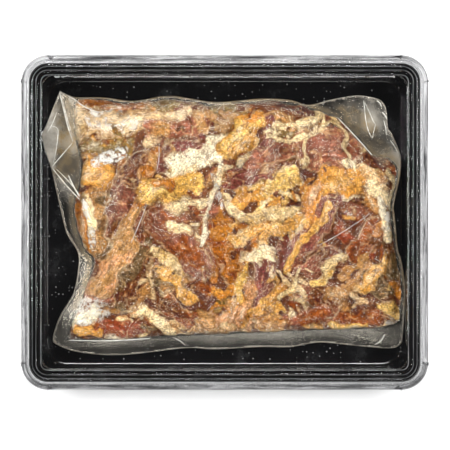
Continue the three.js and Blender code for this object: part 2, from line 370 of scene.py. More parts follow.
# Pieces and threads of fat and skin, in the same columns
FAT_PIECES = [
    ["caramel", "orange", 4.2, 0, [(-103, 83), (-83, 84), (-61, 82)]],
    ["pale", "tan", 10.4, 0, [(-100, 72), (-79, 70), (-59, 72)]],
    ["olive", "golden", 6.9, 0, [(-100, 53), (-86, 52), (-71, 53)]],
    ["golden", "orange", 9, 2, [(-98, 32), (-92, 34), (-85, 32)]],
    ["orange", "tan", 3.5, 1, [(-103, 14), (-101, -2), (-96, -19)]],
    ["cream", "white", 3.5, 2, [(-98, 20), (-95, 7), (-90, -8)]],
    ["white", "cream", 9, 2, [(-32, 38), (-17, 45), (-3, 54)]],
    ["yellow", "golden", 8.3, 2, [(-56, 21), (-41, 24), (-23, 29)]],
    ["cream", "rose", 4.2, 1, [(-39, 13), (-25, 13), (-12, 16)]],
    ["white", "cream", 1.7, 3, [(-2, 41), (-6, 25), (-9, 10), (-14, -15)]],
    ["yellow", "orange", 7.6, 2, [(2, 52), (11, 59), (19, 68)]],
    ["golden", "cream", 4.2, 2, [(5, 49), (13, 52), (20, 56)]],
    ["cream", "pale", 1.5, 2, [(34, 66), (44, 69), (55, 68), (62, 70)]],
    ["cream", "pale", 1.7, 2, [(36, 58), (45, 55), (55, 59), (62, 68)]],
    ["cream", "pale", 1.5, 2, [(34, 66), (34, 61), (36, 58)]],
    ["olive", "grey", 3.5, 1, [(38, 61), (42, 60), (46, 61)]],
    ["cream", "pale", 1.4, 3, [(56, 38), (56, 50), (60, 61), (70, 68)]],
    ["cream", "pale", 1.4, 3, [(70, 68), (77, 70), (83, 61), (85, 45)]],
    ["cream", "white", 2.8, 2, [(83, 43), (88, 37), (94, 29)]],
    ["tan", "cream", 4.2, 2, [(94, 38), (101, 34), (109, 30)]],
    ["cream", "tan", 4.9, 2, [(101, 25), (109, 23), (117, 17)]],
    ["tan", "caramel", 3.5, 1, [(97, 21), (102, 14), (109, 9)]],
    ["cream", "white", 2.8, 2, [(113, 34), (118, 23), (117, 11)]],
    ["golden", "orange", 9, 2, [(70, 25), (79, 29), (88, 27)]],
    ["orange", "yellow", 6.2, 2, [(65, 24), (61, 13), (56, 0)]],
    ["golden", "yellow", 2.8, 2, [(74, 12), (65, -1), (52, -16), (43, -32)]],
    ["golden", "orange", 6.2, 2, [(11, 15), (20, 17), (29, 20)]],
    ["yellow", "cream", 6.9, 2, [(31, 22), (40, 27), (49, 33)]],
    ["cream", "yellow", 4.2, 2, [(16, 2), (30, 6), (47, 7)]],
    ["cream", "pale", 3.5, 2, [(2, 18), (5, 9), (11, 2)]],
    ["golden", "cream", 4.9, 2, [(8, -11), (23, -5), (38, -4), (49, 1)]],
    ["orange", "caramel", 4.9, 1, [(-6, -9), (1, -8), (9, -11)]],
    ["cream", "white", 5.5, 3, [(17, -25), (23, -19), (30, -22)]],
    ["yellow", "golden", 3.5, 2, [(15, -26), (12, -38), (9, -52)]],
    ["salmon", "tan", 4.2, 3, [(18, -45), (15, -55), (11, -66)]],
    ["golden", "salmon", 3.5, 2, [(38, -45), (30, -54), (20, -63)]],
    ["pale", "cream", 1.8, 2, [(37, -34), (46, -43), (55, -52)]],
    ["cream", "olive", 1.8, 3, [(54, -33), (47, -43), (38, -52)]],
    ["pale", "cream", 1.5, 2, [(45, -34), (50, -40), (56, -44)]],
    ["cream", "yellow", 4.9, 3, [(71, -31), (76, -27), (80, -24)]],
    ["yellow", "cream", 3.5, 2, [(63, -43), (67, -40), (74, -36)]],
    ["tan", "golden", 4.9, 3, [(83, -38), (88, -32), (96, -25)]],
    ["golden", "cream", 4.2, 3, [(96, -47), (102, -40), (107, -32)]],
    ["tan", "brown", 4.9, 2, [(72, -50), (84, -48), (99, -44)]],
    ["orange", "caramel", 2.8, 2, [(117, -43), (120, -47), (121, -52)]],
    ["yellow", "tan", 3.4, 2, [(109, -58), (116, -62), (123, -66)]],
    ["golden", "yellow", 4.2, 2, [(29, -57), (33, -60), (38, -59)]],
    ["tan", "orange", 4.2, 1, [(20, -69), (34, -70), (48, -71)]],
    ["salmon", "tan", 5.5, 1, [(-3, -69), (6, -66), (16, -61)]],
    ["orange", "golden", 4.9, 1, [(-6, -52), (2, -48), (11, -45)]],
    ["cream", "yellow", 4.9, 2, [(-48, -19), (-41, -25), (-34, -33)]],
    ["golden", "yellow", 6.2, 2, [(-41, -36), (-34, -43), (-27, -51)]],
    ["pale", "grey", 2.1, 1, [(-52, -29), (-52, -41), (-50, -52)]],
    ["white", "cream", 4.9, 2, [(-103, -70), (-98, -66), (-91, -61)]],
    ["cream", "orange", 3.5, 2, [(-64, -63), (-56, -59), (-48, -67), (-35, -78)]],
    ["golden", "orange", 3.5, 2, [(-102, -75), (-95, -75), (-88, -78)]],
    ["tan", "cream", 3.5, 1, [(-25, -75), (-10, -75), (5, -73)]],
    ["white", "cream", 2.8, 3, [(110, 12), (113, 0), (114, -13)]],
    ["cream", "rose", 3.5, 2, [(-37, -2), (-32, -4), (-26, -6)]],
    ["orange", "golden", 3.5, 2, [(18, 72), (20, 73), (22, 75)]],
    ["white", "grey", 2.8, 2, [(9, 41), (13, 43), (17, 45)]],
    ["pale", "rose", 4.2, 1, [(-52, 75), (-39, 74), (-27, 77)]],
    ["orange", "rust", 3.5, 3, [(-48, 25), (-43, 27), (-37, 28)]],
    ["cream", "pale", 2.8, 2, [(52, 71), (61, 72), (67, 74)]],
    ["tan", "pale", 3.5, 1, [(-12, 75), (-2, 70), (8, 72)]],
    ["caramel", "orange", 2.8, 2, [(105, -7), (108, -4), (110, 0)]],
    ["pale", "tan", 2.8, 2, [(88, -51), (94, -55), (99, -56)]],
    ["yellow", "tan", 2.8, 2, [(77, -72), (87, -73), (98, -72)]],
]

# How the meat lies: how far each layer's top is under the bag's surface, the height of the meat's
# underside, how far over it the edge and the upper side are at least, and the level of the juice
LAYER_DROP = [2.2, 1.6, 1.0, 0.5]
STRIP_FLOOR = 2.2
EDGE_LIFT = 1.2
LEAST_LIFT = 0.8
JUICE_LEVEL = -3.2

# Scraps of the meat: how many, their least and greatest reach, and their layer
LOW_SCRAPS = (320, (4.0, 12.0), -1)
HIGH_SCRAPS = (110, (1.5, 4.5), 1)
SCRAP_AREA = ((-112, -84), (126, 90))

# Bends in the edges of the pieces: how far each goes and how long it is. Then the parts of their
# fray: the share and the length of each
WIDE_BEND = (2.6, 9.0)
FINE_BEND = (0.9, 3.6)
FRAY = [(1.3, 9), (1.0, 6), (0.6, 3), (0.4, 1)]

# Heights of the film: over the meat, the least over the tray, between its two sheets at the edge,
# and of the lower sheet under the meat
FILM_GAP = 0.25
FILM_FLOOR = 2.6
SHEET_GAP = 0.5
LOWER_SHEET = 1.6

# Grids of heights: how far they reach from the middle, their spacing, and how many rounds fill the
# bag's gaps, even out its lumps, settle the film and draw up its folds
MAP_REACH = (134, 102)
BAG_MAP_PITCH = 2.0
FILM_MAP_PITCH = 0.8
FILL_ROUNDS = 12
EVEN_ROUNDS = 40
SETTLE_ROUNDS = 900
FOLD_ROUNDS = 350

# Camera's place over the pack, brightness of the room and glow of the floor
CAMERA_SPOT = (0.24, -1.72)
ROOM_LIGHT = 0.04
FLOOR_GLOW = 0.16


class StageSettings(bpy.types.PropertyGroup):
    camera_height: FloatProperty(
        name="Camera Height", description="Height of the camera over the floor",
        default=1.3, unit="LENGTH")
    lens: FloatProperty(
        name="Lens", description="Focal length of the camera on a 36 mm sensor", default=148.05)
    key_power: FloatProperty(
        name="Key Power", description="Power of the light behind the pack", default=13.0, unit="POWER")
    fill_power: FloatProperty(
        name="Fill Power", description="Power of each of the other lights", default=11.0, unit="POWER")
    floor_colour: FloatVectorProperty(
        name="Floor Colour", description="Colour of the floor", subtype="COLOR",
        default=(0.94, 0.94, 0.94))


class TraySettings(bpy.types.PropertyGroup):
    sheet: FloatProperty(
        name="Sheet", description="Thickness of the black sheet", default=0.9 * MM, unit="LENGTH")
    rounding: FloatProperty(
        name="Rounding", description="Radius of the formed edges", default=0.35 * MM, unit="LENGTH")
    colour: FloatVectorProperty(
        name="Colour", description="Colour of the black plastic", subtype="COLOR",
        default=(0.006, 0.006, 0.0065))


class LidSettings(bpy.types.PropertyGroup):
    sheet: FloatProperty(
        name="Sheet", description="Thickness of the clear sheet", default=0.7 * MM, unit="LENGTH")
    rounding: FloatProperty(
        name="Rounding", description="Radius of the formed edges", default=0.5 * MM, unit="LENGTH")


class MeatSettings(bpy.types.PropertyGroup):
    seed: IntProperty(name="Seed", description="Start of the random draws", default=7)
    pitch: FloatProperty(
        name="Pitch", description="Spacing of the meat's points", default=0.68 * MM, unit="LENGTH")


class FilmSettings(bpy.types.PropertyGroup):
    pitch: FloatProperty(
        name="Pitch", description="Spacing of the film's points", default=1.0 * MM, unit="LENGTH")
    cling: FloatProperty(
        name="Cling", description="How hard the film is drawn onto the meat", default=0.06)


def linear(name):
    """A named tone as the renderer uses it."""
    shares = np.array(TONES[name]) / 255
    return np.where(shares <= 0.04045, shares / 12.92, ((shares + 0.055) / 1.055) ** 2.4)


def noise(places, size, seed):
    """Smooth noise from -1 to 1 at rows of coordinates. Its lumps are about as large as size."""
    places = np.asarray(places, float) / size
    cell = np.floor(places).astype(np.int64)
    rest = places - cell
    rest = rest * rest * (3 - 2 * rest)
    total = np.zeros(len(places))
    factors = np.array([73856093, 19349663, 83492791])[: places.shape[1]]
    for corner in itertools.product((0, 1), repeat=places.shape[1]):
        code = ((cell + corner) * factors).sum(1) + seed * 668265263
        code = (code ^ (code >> 13)) * 1274126177 & 0xFFFFFFFF
        code = (code ^ (code >> 16)) * 2246822519 & 0xFFFFFFFF
        value = code / 0x7FFFFFFF - 1
        total += value * np.prod(np.where(corner, rest, 1 - rest), axis=1)
    return total


def smooth_step(value, low, high):
    """0 below low and 1 above high, with a smooth change between them."""
    share = np.clip((value - low) / (high - low), 0, 1)
    return share * share * (3 - 2 * share)


def curve_through(spots, step, closed=False, corners=None):
    """Points about a step apart on a smooth curve through the spots. It turns sharply at the corners."""
    spots = np.array(spots, float)
    count = len(spots)
    corners = np.zeros(count) if corners is None else np.array(corners)
    if closed:
        before, after = np.roll(spots, 1, 0), np.roll(spots, -1, 0)
    else:
        before = np.vstack([spots[:1], spots[:-1]])
        after = np.vstack([spots[1:], spots[-1:]])
    slopes = (after - before) / 2 * (1 - corners)[:, None]
    points = []
    for i in range(count if closed else count - 1):
        j = (i + 1) % count
        parts = max(2, round(np.linalg.norm(spots[j] - spots[i]) / step))
        t = (np.arange(parts) / parts)[:, None]
        points.append(
            (2 * t**3 - 3 * t**2 + 1) * spots[i] + (t**3 - 2 * t**2 + t) * slopes[i]
            + (3 * t**2 - 2 * t**3) * spots[j] + (t**3 - t**2) * slopes[j])
    if not closed:
        points.append(spots[-1:])
    return np.vstack(points)


class HeightMap:
    """Heights on a square grid over the pack, in millimetres."""

    def __init__(self, pitch):
        self.pitch = pitch
        self.x = np.arange(-MAP_REACH[0], MAP_REACH[0] + pitch, pitch)
        self.y = np.arange(-MAP_REACH[1], MAP_REACH[1] + pitch, pitch)
        self.z = np.zeros((len(self.y), len(self.x)))

    def places(self):
        """All grid points as rows of x and y."""
        x, y = np.meshgrid(self.x, self.y)
        return np.stack([x.ravel(), y.ravel()], 1)

    def at(self, places, values=None):
        """Heights, or other values on the same grid, at rows of x and y."""
        values = self.z if values is None else values
        column = np.clip((places[:, 0] - self.x[0]) / self.pitch, 0, len(self.x) - 1.001)
        row = np.clip((places[:, 1] - self.y[0]) / self.pitch, 0, len(self.y) - 1.001)
        c, r = column.astype(int), row.astype(int)
        u, v = column - c, row - r
        low = values[r, c] * (1 - u) + values[r, c + 1] * u
        high = values[r + 1, c] * (1 - u) + values[r + 1, c + 1] * u
        return low * (1 - v) + high * v

    def cells(self, points):
        """Row and column of the grid point nearest to each point."""
        column = np.rint((points[:, 0] - self.x[0]) / self.pitch).astype(int)
        row = np.rint((points[:, 1] - self.y[0]) / self.pitch).astype(int)
        return row, column

    def raise_to(self, points):
        """Lifts the grid to the highest of the points, rows of x, y and z, in and next to each cell."""
        row, column = self.cells(points)
        for down, right in itertools.product((-1, 0, 1), repeat=2):
            r = np.clip(row + down, 0, len(self.y) - 1)
            c = np.clip(column + right, 0, len(self.x) - 1)
            np.maximum.at(self.z, (r, c), points[:, 2])


def beside(grid):
    """The grid moved by one cell towards each of its four sides."""
    return [np.roll(grid, shift, axis) for axis in (0, 1) for shift in (1, -1)]


def surface_of_bag():
    """Height of the CAD bag's upper side, which the meat and the film follow."""
    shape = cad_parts["bag"].data
    tree = BVHTree.FromPolygons(
        [tuple(v.co) for v in shape.vertices], [tuple(p.vertices) for p in shape.polygons])
    surface = HeightMap(BAG_MAP_PITCH)
    down = Vector((0, 0, -1))
    heights = []
    for x, y in surface.places():
        hit = tree.ray_cast(Vector((x * MM, y * MM, 0.1)), down)[0]
        heights.append(hit.z / MM if hit else -1)
    surface.z = np.array(heights).reshape(surface.z.shape)
    for _ in range(FILL_ROUNDS):
        missing = surface.z < 0
        surface.z[missing] = np.max(beside(surface.z), axis=0)[missing]
    return surface


def directions(line):
    """Unit vectors along a line, one at each of its points."""
    tangent = np.gradient(line, axis=0)
    return tangent / np.linalg.norm(tangent, axis=1)[:, None]


def distance_to(places, line, closed=True):
    """Distance of each place to the nearest point of a line, and that point's number."""
    line = np.asarray(line, float)[:, :2]
    best = np.full(len(places), 1e9)
    nearest = np.zeros(len(places), int)
    for number, point in enumerate(line):
        gap = (places[:, 0] - point[0]) ** 2 + (places[:, 1] - point[1]) ** 2
        closer = gap < best
        best[closer] = gap[closer]
        nearest[closer] = number
    return np.sqrt(best), nearest


def inside(places, outline):
    """True for each place inside the closed outline."""
    result = np.zeros(len(places), bool)
    ahead = np.roll(outline, -1, 0)
    for (x0, y0), (x1, y1) in zip(outline[:, :2], ahead[:, :2]):
        if y0 == y1:
            continue
        crosses = (y0 > places[:, 1]) != (y1 > places[:, 1])
        edge_x = x0 + (places[:, 1] - y0) * (x1 - x0) / (y1 - y0)
        result ^= crosses & (places[:, 0] < edge_x)
    return result


def new_piece(name, points, faces, material, slot, *nodes):
    """A finished mesh object in millimetre points, which rides on the body and stands for the CAD nodes."""
    mesh = bpy.data.meshes.new(name)
    mesh.from_pydata((np.asarray(points) * MM).tolist(), [], faces)
    mesh.materials.append(material)
    mesh.polygons.foreach_set("use_smooth", [True] * len(mesh.polygons))
    mesh.update()
    piece = bpy.data.objects.new(name, mesh)
    bpy.context.scene.collection.objects.link(piece)
    settle(piece, slot, *nodes)
    return piece


def settle(piece, slot, *nodes):
    """Ties a finished piece to the frame."""
    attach(piece, BODY)
    if nodes:
        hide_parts(*nodes)


def vectors_of(piece, field):
    """The places or the normals of the piece's points."""
    vectors = np.zeros(len(piece.data.vertices) * 3)
    piece.data.vertices.foreach_get(field, vectors)
    return vectors.reshape(-1, 3)


def store(mesh, name, kind, values):
    """Keeps a value, a vector or a colour for each point of the mesh."""
    layer = mesh.attributes.new(name, kind, "POINT")
    field = {"FLOAT": "value", "FLOAT_VECTOR": "vector", "FLOAT_COLOR": "color"}[kind]
    layer.data.foreach_set(field, np.asarray(values, np.float32).ravel())


# Short calls for node trees

def fill(tree, node, inputs):
    """Sets a node's inputs to values, or joins them to other nodes' outputs."""
    for name, value in inputs.items():
        if isinstance(value, bpy.types.NodeSocket):
            tree.links.new(value, node.inputs[name])
        else:
            node.inputs[name].default_value = value


def add_node(tree, kind, inputs=None, **settings):
    """A node with its settings and its inputs."""
    node = tree.nodes.new(kind)
    for name, value in settings.items():
        setattr(node, name, value)
    fill(tree, node, inputs or {})
    return node


def maths(tree, operation, first, second=0.0, third=0.0):
    """Output of a Math node."""
    node = add_node(tree, "ShaderNodeMath", {0: first, 1: second, 2: third}, operation=operation)
    return node.outputs[0]


def times(tree, first, second):
    """Product of two values."""
    return maths(tree, "MULTIPLY", first, second)


def greater(tree, first, second):
    """The greater of two values."""
    return maths(tree, "MAXIMUM", first, second)


def lit(tree, colour, light):
    """Colour made lighter or darker by a value."""
    return add_node(tree, "ShaderNodeVectorMath", {0: colour, 3: light}, operation="SCALE").outputs[0]


def mixed(tree, share, first, second):
    """Colour between two colours."""
    node = add_node(tree, "ShaderNodeMix", {0: share, 6: first, 7: second}, data_type="RGBA")
    return node.outputs[2]


def ranged(tree, value, low, high, to_low=0.0, to_high=1.0):
    """Value moved smoothly from one range to another."""
    node = add_node(
        tree, "ShaderNodeMapRange", {0: value, 1: low, 2: high, 3: to_low, 4: to_high},
        interpolation_type="SMOOTHSTEP")
    return node.outputs[0]


def scaled(tree, vector, scale):
    """Vector with each part multiplied."""
    node = add_node(tree, "ShaderNodeVectorMath", {0: vector, 1: scale}, operation="MULTIPLY")
    return node.outputs[0]


def noise_at(tree, vector, scale, detail=3.0, roughness=0.6):
    """Noise value at a vector."""
    node = add_node(
        tree, "ShaderNodeTexNoise",
        {"Vector": vector, "Scale": scale, "Detail": detail, "Roughness": roughness})
    return node.outputs[0]


def lines_at(tree, vector, scale, width):
    """Thin wandering lines, where a noise passes its middle value."""
    wander = noise_at(tree, vector, scale, 2.0, 0.5)
    away = maths(tree, "ABSOLUTE", maths(tree, "SUBTRACT", wander, 0.5))
    return ranged(tree, away, 0.0, width, 1.0, 0.0)


def attribute(tree, name, output="Fac"):
    """A value kept on the mesh's points."""
    return add_node(tree, "ShaderNodeAttribute", attribute_name=name).outputs[output]


def coordinates(tree):
    """Object coordinates."""
    return add_node(tree, "ShaderNodeTexCoord").outputs["Object"]


def rgba(name):
    """A named tone for a shader's socket."""
    return (*linear(name).tolist(), 1.0)


def bumped(tree, height, strength, distance):
    """Normal of a surface with fine relief."""
    inputs = {"Height": height, "Strength": strength, "Distance": distance}
    return add_node(tree, "ShaderNodeBump", inputs).outputs[0]


def new_group(name, inputs, output):
    """An empty shader group with a vector and some values going in: its tree, its inputs and its output."""
    tree = bpy.data.node_groups.new(name, "ShaderNodeTree")
    tree.interface.new_socket("Vector", in_out="INPUT", socket_type="NodeSocketVector")
    for label in inputs:
        tree.interface.new_socket(label, in_out="INPUT", socket_type="NodeSocketFloat")
    tree.interface.new_socket(output, in_out="OUTPUT", socket_type="NodeSocketFloat")
    given = tree.nodes.new("NodeGroupInput")
    result = tree.nodes.new("NodeGroupOutput")
    return tree, given.outputs, result.inputs


def group(tree, name, inputs):
    """Output of a placed copy of a shader group, which is made when it is first needed."""
    if name not in bpy.data.node_groups:
        GROUP_MAKERS[name]()
    return add_node(tree, "ShaderNodeGroup", inputs, node_tree=bpy.data.node_groups[name]).outputs[0]


def make_speck_group():
    """Small round specks, such as ground pepper: a few of the cells hold one each."""
    tree, given, result = new_group("Specks", ["Scale", "Share", "Size"], "Mask")
    cells = add_node(tree, "ShaderNodeTexVoronoi", {"Vector": given["Vector"], "Scale": given["Scale"]})
    draw = add_node(tree, "ShaderNodeSeparateColor", {0: cells.outputs["Color"]})
    chosen = maths(tree, "LESS_THAN", draw.outputs[0], given["Share"])
    grown = times(tree, given["Size"], maths(tree, "ADD", draw.outputs[1], 0.4))
    near = maths(tree, "SUBTRACT", 1.0, maths(tree, "DIVIDE", cells.outputs["Distance"], grown))
    tree.links.new(times(tree, chosen, ranged(tree, near, 0.0, 0.5)), result["Mask"])


def make_fibre_group():
    """Long fine stripes that run along a piece."""
    tree, given, result = new_group("Fibres", ["Fineness", "Waviness"], "Stripes")
    bend = noise_at(tree, given["Vector"], 0.15, 2.0)
    shift = times(tree, maths(tree, "SUBTRACT", bend, 0.5), given["Waviness"])
    sideways = add_node(tree, "ShaderNodeCombineXYZ", {1: times(tree, shift, 6.0)})
    moved = add_node(
        tree, "ShaderNodeVectorMath", {0: given["Vector"], 1: sideways.outputs[0]}, operation="ADD")
    along = scaled(tree, moved.outputs[0], (0.16, 1.1, 0.5))
    tree.links.new(noise_at(tree, along, given["Fineness"], 4.0, 0.65), result["Stripes"])


GROUP_MAKERS = {"Specks": make_speck_group, "Fibres": make_fibre_group}


def new_material(name, roughness, **values):
    """A material with one Principled shader. Returns the material, its tree and the shader."""
    material = bpy.data.materials.new(name)
    material.use_nodes = True
    shader = material.node_tree.nodes["Principled BSDF"]
    shader.inputs["Roughness"].default_value = roughness
    for label, value in values.items():
        shader.inputs[label.replace("_", " ")].default_value = value
    return material, material.node_tree, shader


def meat_material():
    """Wet marinated meat: the tones kept on the mesh, with mottling, fibres, threads, cracks, pepper and
    pale specks, partly painted glints.
    """
    material, tree, shader = new_material("wet_meat", 0.5, Specular_IOR_Level=0.1)
    place = coordinates(tree)
    lean = attribute(tree, "lean")
    grain = attribute(tree, "grain", "Vector")
    fibres = group(tree, "Fibres", {"Vector": grain, "Fineness": 1.6, "Waviness": 0.5})
    mottle = noise_at(tree, place, 430.0, 5.0, 0.78)
    fibrous = maths(tree, "MULTIPLY_ADD", lean, 0.4, 0.5)
    texture = add_node(
        tree, "ShaderNodeMix", {0: fibrous, 2: mottle, 3: fibres}, data_type="FLOAT").outputs[0]
    shaded = lit(tree, attribute(tree, "tone", "Color"), ranged(tree, texture, 0.32, 0.68, 0.62, 1.34))
    speckle = noise_at(tree, place, 960.0, 2.0, 0.6)
    shaded = lit(tree, shaded, ranged(tree, speckle, 0.35, 0.65, 0.6, 1.4))

    threads = greater(tree, lines_at(tree, place, 120.0, 0.02), lines_at(tree, place, 250.0, 0.03))
    threads = times(tree, threads, ranged(tree, noise_at(tree, place, 100.0), 0.45, 0.6))
    threads = times(tree, threads, ranged(tree, lean, 0.3, 0.9, 0.1, 0.36))
    shaded = mixed(tree, threads, shaded, rgba("thread"))
    cracks = times(tree, lines_at(tree, place, 170.0, 0.022), ranged(tree, lean, 0.2, 0.8, 0.38, 0.3))
    shaded = mixed(tree, cracks, shaded, rgba("crack"))
    crumbs = ranged(tree, noise_at(tree, place, 300.0, 6.0, 0.78), 0.54, 0.64)
    shaded = mixed(tree, times(tree, crumbs, 0.55), shaded, rgba("crumb"))
    # Dark pepper, and pale specks that are partly bits in the marinade and partly painted glints
    for name, scale, share, size in (("pepper", 600.0, 0.18, 0.36), ("speck_and_glint", 680.0, 0.2, 0.34)):
        specks = group(tree, "Specks", {"Vector": place, "Scale": scale, "Share": share, "Size": size})
        shaded = mixed(tree, times(tree, specks, 0.7), shaded, rgba(name))
    fill(tree, shader, {"Base Color": shaded, "Normal": bumped(tree, texture, 0.5, 0.0004)})
    return material


def tray_material(settings):
    """Glossy black sheet with drawing lines in the walls, painted highlights along its formed edges, dust on
    the floor and faint grey patches.
    """
    material, tree, shader = new_material("black_sheet", 0.22, IOR=1.48)
    drawn = attribute(tree, "drawn", "Vector")
    place = coordinates(tree)
    dust = group(tree, "Specks", {"Vector": place, "Scale": 420.0, "Share": 0.4, "Size": 0.2})
    dusty = times(tree, dust, attribute(tree, "middle"))
    colour = mixed(tree, times(tree, dusty, 0.5), (*settings.colour, 1.0), rgba("dust"))
    # Faint grey patches over the black sheet
    grey_patches = ranged(tree, noise_at(tree, place, 40.0, 6.0, 0.7), 0.5, 0.75)
    colour = mixed(tree, times(tree, grey_patches, 0.035), colour, rgba("faint_grey"))
    # Light grey painted in broken lines along the formed edges, where they catch the light: a painted
    # highlight
    highlit = 0.0
    for edge in RIM_EDGES:
        away = maths(tree, "ABSOLUTE", maths(tree, "SUBTRACT", attribute(tree, "across"), edge))
        highlit = greater(tree, highlit, ranged(tree, away, 0.1, 0.35, 1.0, 0.0))
    patchy = noise_at(tree, scaled(tree, drawn, (0.1, 0.1, 1.0)), 1.0, 3.0)
    highlit = times(tree, highlit, ranged(tree, patchy, 0.35, 0.6, 0.1, 0.36))
    lines = noise_at(tree, scaled(tree, drawn, (1.2, 1.2, 0.05)), 1.0, 4.0, 0.7)
    wall = times(tree, lines, attribute(tree, "steep"))
    fill(tree, shader, {
        "Base Color": mixed(tree, highlit, colour, rgba("highlit edge")),
        "Roughness": ranged(tree, wall, 0.0, 0.7, 0.08, 0.16),
        "Normal": bumped(tree, wall, 0.2, 0.0004),
    })
    return material


def lid_material():
    """Clear sheet. It shows mostly its mirror share. Its flange is streaked, with a dark lip, and painted
    darker on the long sides as shade.
    """
    material, tree, shader = new_material("clear_sheet", 0.05)
    drawn = attribute(tree, "drawn", "Vector")
    flange = attribute(tree, "flange")
    streaks = noise_at(tree, scaled(tree, drawn, (0.03, 0.03, 1.6)), 1.0, 4.0, 0.7)
    streaks = ranged(tree, streaks, 0.43, 0.57)
    grey = mixed(tree, streaks, rgba("dark streak"), rgba("light streak"))
    # The flange on the long sides is painted darker: painted shade
    grey = mixed(tree, times(tree, attribute(tree, "long_side"), 0.35), grey, rgba("long side shade"))
    grey = mixed(tree, times(tree, attribute(tree, "lip"), 0.8), grey, rgba("lip"))
    thick = times(tree, flange, ranged(tree, streaks, 0.0, 1.0, 0.85, 0.35))
    clear = maths(tree, "MULTIPLY_ADD", times(tree, attribute(tree, "steep"), streaks), 0.025, 0.015)
    waves = noise_at(tree, scaled(tree, drawn, (0.12, 0.12, 0.5)), 1.0, 3.0)
    fill(tree, shader, {
        "Base Color": mixed(tree, flange, rgba("clear sheet"), grey),
        "Metallic": maths(tree, "SUBTRACT", 1.0, flange),
        "Alpha": greater(tree, thick, clear),
        "Normal": bumped(tree, waves, 0.15, 0.0003),
    })
    return material


def film_material():
    """Thin clear film. Alpha is its mirror share, and rises with haze and its painted sheen, foam, seal and
    residue, and with painted highlights along the edge and on the dull film's creases.
    """
    material, tree, shader = new_material("bag_film", 0.13)
    place = coordinates(tree)
    foam, white, haze = (attribute(tree, name) for name in ("foam", "white", "haze"))
    residue, seal, edge = (attribute(tree, name) for name in ("residue", "seal", "edge"))
    bubbles = ranged(tree, noise_at(tree, place, 400.0, 5.0, 0.8), 0.4, 0.55)
    smears = ranged(tree, noise_at(tree, place, 160.0, 5.0, 0.7), 0.35, 0.65)
    # Foam and white film, whose white patches are partly painted glints and sheen
    milk_and_glint = greater(tree, times(tree, foam, bubbles), times(tree, white, smears))
    hazy_and_sheen = times(tree, haze, ranged(tree, smears, 0.0, 1.0, 0.8, 1.0))
    stained = times(tree, residue, ranged(tree, smears, 0.0, 1.0, 0.6, 1.0))
    # The dull film here carries the painted sheen of the haze as well as the seal
    dull = greater(tree, hazy_and_sheen, seal)
    # Thin painted highlight lines where the dull film is creased
    creases = greater(tree, lines_at(tree, place, 65.0, 0.008), lines_at(tree, place, 110.0, 0.01))
    cover = greater(tree, milk_and_glint, times(tree, dull, 0.75))
    # A painted highlight along the film's cut edge
    cover = greater(tree, cover, times(tree, edge, 0.8))
    cover = greater(tree, cover, times(tree, creases, maths(tree, "MINIMUM", dull, 0.6)))
    cover = greater(tree, cover, times(tree, stained, 0.6))
    colour = mixed(tree, stained, rgba("dull film"), rgba("residue"))
    fill(tree, shader, {
        "Base Color": mixed(tree, milk_and_glint, colour, rgba("foam")),
        "Metallic": maths(tree, "SUBTRACT", 1.0, cover),
        "Alpha": greater(tree, times(tree, cover, 0.9), 0.055),
        "Roughness": ranged(tree, cover, 0.0, 1.0, 0.17, 0.5),
        "Normal": bumped(tree, noise_at(tree, place, 650.0, 4.0, 0.65), 0.7, 0.0006),
    })
    return material


def fold_material():
    """Doubled film in a pinched fold, whiter than the flat film: its near-white colour is partly a painted
    highlight along the fold.
    """
    material, tree, shader = new_material("fold_highlight", 0.12, Metallic=0.15)
    broken = noise_at(tree, coordinates(tree), 220.0, 3.0)
    alpha = ranged(tree, broken, 0.35, 0.6, 0.55, 0.95)
    fill(tree, shader, {"Base Color": rgba("fold highlight"), "Alpha": alpha})
    return material


# Tray and lid

def pick(piece, wanted):
    """Selects the vertices that pass the test, in edit mode, and nothing else."""
    shape = bmesh.from_edit_mesh(piece.data)
    for vertex in shape.verts:
        vertex.select = bool(wanted(vertex))
    shape.select_flush_mode()
    bmesh.update_edit_mesh(piece.data)


def picked(piece):
    """Numbers of the selected vertices."""
    return {vertex.index for vertex in bmesh.from_edit_mesh(piece.data).verts if vertex.select}


def next_ring(piece, here, there):
    """Extrudes the selected ring from one row of a profile to the next."""
    bpy.ops.mesh.extrude_edges_move()
    ring = picked(piece)
    length, width = RIM_LENGTH / 2 + here[0], RIM_WIDTH / 2 + here[0]
    new_length, new_width = RIM_LENGTH / 2 + there[0], RIM_WIDTH / 2 + there[0]
    stretch = (new_length / length, new_width / width, 1)
    bpy.ops.transform.resize(value=stretch, center_override=(0, 0, 0))
    bpy.ops.transform.translate(value=(0, 0, (there[1] - here[1]) * MM))
    start_x = (length - here[2]) * stretch[0] * MM - 1e-6
    start_y = (width - here[2]) * stretch[1] * MM - 1e-6
    tighter = (there[2] / here[2] / stretch[0], there[2] / here[2] / stretch[1], 1)
    for side_x, side_y in itertools.product((-1, 1), repeat=2):
        pick(piece, lambda v: v.index in ring and v.co.x * side_x > start_x and v.co.y * side_y > start_y)
        corner = (side_x * new_length * MM, side_y * new_width * MM, there[1] * MM)
        bpy.ops.transform.resize(value=tighter, center_override=corner)
    pick(piece, lambda v: v.index in ring)


